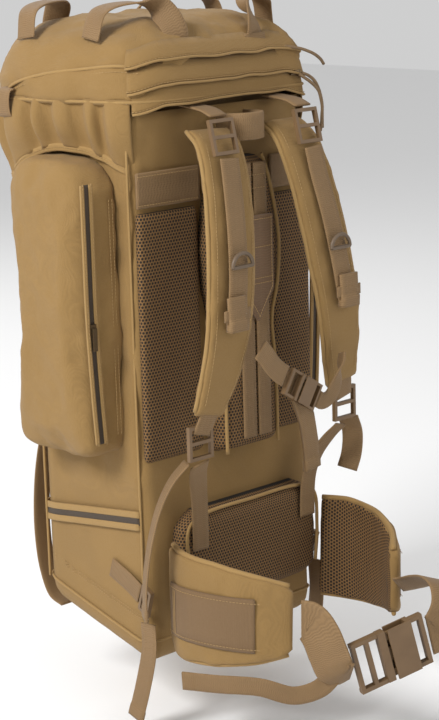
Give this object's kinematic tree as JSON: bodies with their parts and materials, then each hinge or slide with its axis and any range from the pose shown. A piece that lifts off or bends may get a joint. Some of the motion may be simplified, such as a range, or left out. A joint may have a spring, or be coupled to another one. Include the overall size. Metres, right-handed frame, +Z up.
{
  "type": "hunting backpack",
  "caption": "Tall top-loading field pack with a floating lid, gathered skirt, side pockets, padded shoulder harness, mesh lumbar pad and clasped hip belt.",
  "frame": {"origin": "on the plane of the back panel's outer face, on the bag's centre line, level with the lowest point of the base: the place that lies on the wearer's back", "axes": "+Z up, +Y away from the wearer towards the bag's front, +X to the wearer's left-hand side, because the wearer stands on the -Y side and faces away from the bag; names with left and right are as seen facing the harness"},
  "size_m": [0.38, 0.5079, 0.8188],
  "materials": {
    "fabric": "woven nylon, matt",
    "lining": "thin woven nylon",
    "mesh": "spacer mesh",
    "webbing": "woven nylon webbing",
    "buckle": "moulded acetal",
    "zip_metal": "painted zinc",
    "cord": "braided cord",
    "stay_metal": "mill finish",
    "frame_plastic": "extruded sheet"
  },
  "bodies": {
    "pack": {"back_panel": "fabric", "front_panel": "fabric", "side_panels": "fabric", "base_panel": "fabric", "snow_collar": "lining", "collar_drawcord": "cord", "cord_lock_barrel": "buckle", "frame_sheet": "frame_plastic", "stays": "stay_metal", "mesh_pads": "mesh", "spine_pad": "mesh", "back_webbing": "webbing", "torso_tab": "fabric", "lumbar_pad": "mesh", "pocket_left": "fabric", "pocket_right": "fabric", "front_pocket": "fabric", "front_webbing": "webbing", "front_buckle_females": "buckle", "base_zip": "lining", "base_lash_straps": "webbing", "stabiliser_locks": "buckle", "stabiliser_straps": "webbing", "load_lifters": "webbing", "lower_webs": "webbing"},
    "cord_lock_button": {"cord_lock_button": "buckle"},
    "pocket_slider_left": {"pocket_slider_left": "zip_metal"},
    "pocket_slider_right": {"pocket_slider_right": "zip_metal"},
    "base_slider": {"base_slider": "zip_metal"},
    "haul_loop": {"haul_loop": "webbing"},
    "lid": {"lid_shell": "fabric", "lid_floor": "lining", "lid_skirt": "fabric", "lid_flaps": "fabric", "lid_loops": "webbing", "lid_side_loops": "webbing", "lid_slider_lower": "zip_metal", "lid_pull_lower": "cord", "front_straps": "webbing", "front_buckle_males": "buckle"},
    "lid_slider": {"lid_slider_upper": "zip_metal", "lid_pull_upper": "cord"},
    "left_strap": {"strap_pad_left": "fabric", "strap_web_left": "webbing", "strap_locks_left": "buckle"},
    "right_strap": {"strap_pad_right": "fabric", "strap_web_right": "webbing", "strap_locks_right": "buckle"},
    "d_ring_left": {"d_ring_left": "buckle"},
    "d_ring_right": {"d_ring_right": "buckle"},
    "sternum": {"sternum_web_left": "webbing", "sternum_female": "buckle", "sternum_web_right": "webbing"},
    "sternum_male": {"sternum_male": "buckle"},
    "left_wing": {"wing_pad_left": "fabric", "belt_web_left": "webbing", "hip_male": "buckle"},
    "right_wing": {"wing_pad_right": "fabric", "belt_web_right": "webbing", "hip_female": "buckle"}
  },
  "joints": [
    {"name": "lid_hinge", "type": "hinge", "parent": "pack", "child": "lid", "pos_m": [0, -0.006, 0.65], "axis": [1, 0, 0], "range_deg": [0, 80]},
    {"name": "lid_zip", "type": "slide", "parent": "lid", "child": "lid_slider", "axis": [-1, 0, 0], "range_m": [0, 0.18]},
    {"name": "strap_left_swing", "type": "hinge", "parent": "pack", "child": "left_strap", "pos_m": [0.012, -0.016, 0.622], "axis": [-1, 0, 0], "range_deg": [0, 18], "deforming": ["load_lifters", "lower_webs"]},
    {"name": "strap_right_swing", "type": "hinge", "parent": "pack", "child": "right_strap", "pos_m": [0.012, -0.016, 0.622], "axis": [-1, 0, 0], "range_deg": [0, 18]},
    {"name": "d_ring_left_swing", "type": "hinge", "parent": "left_strap", "child": "d_ring_left", "pos_m": [-0.066, -0.0995, 0.474], "axis": [1, 0, 0], "range_deg": [0, 150]},
    {"name": "d_ring_right_swing", "type": "hinge", "parent": "right_strap", "child": "d_ring_right", "pos_m": [0.09, -0.0995, 0.474], "axis": [1, 0, 0], "range_deg": [0, 150]},
    {"name": "sternum_slide", "type": "slide", "parent": "left_strap", "child": "sternum", "axis": [0, 0, 1], "range_m": [-0.02, 0.02]},
    {"name": "sternum_release", "type": "slide", "parent": "sternum", "child": "sternum_male", "axis": [-0.848, 0, 0.53], "range_m": [0, 0.022], "deforming": ["sternum_web_left"]},
    {"name": "right_wing_swing", "type": "hinge", "parent": "pack", "child": "right_wing", "pos_m": [0.134, -0.016, 0.085], "axis": [-0.1515, 0.284, 0.9468], "range_deg": [0, 28]},
    {"name": "left_wing_swing", "type": "hinge", "parent": "pack", "child": "left_wing", "pos_m": [-0.11, -0.016, 0.085], "axis": [0, 0, -1], "range_deg": [0, 7]},
    {"name": "haul_loop_swing", "type": "hinge", "parent": "pack", "child": "haul_loop", "pos_m": [0.012, -0.005, 0.616], "axis": [1, 0, 0], "range_deg": [-12, 12]},
    {"name": "pocket_zip_left", "type": "slide", "parent": "pack", "child": "pocket_slider_left", "axis": [0, 0, 1], "range_m": [-0.125, 0.12]},
    {"name": "pocket_zip_right", "type": "slide", "parent": "pack", "child": "pocket_slider_right", "axis": [0, 0, 1], "range_m": [-0.125, 0.12]},
    {"name": "base_zip_slide", "type": "slide", "parent": "pack", "child": "base_slider", "axis": [-1, 0, 0], "range_m": [0, 0.208]},
    {"name": "cord_lock_press", "type": "slide", "parent": "pack", "child": "cord_lock_button", "axis": [-1, 0, 0], "range_m": [0, 0.003], "stiffness_N_per_m": 300}
  ],
  "couplings": [
    {"joint": "strap_right_swing", "follows": "strap_left_swing", "ratio": 1},
    {"joint": "left_wing_swing", "follows": "right_wing_swing", "ratio": 0.25}
  ]
}
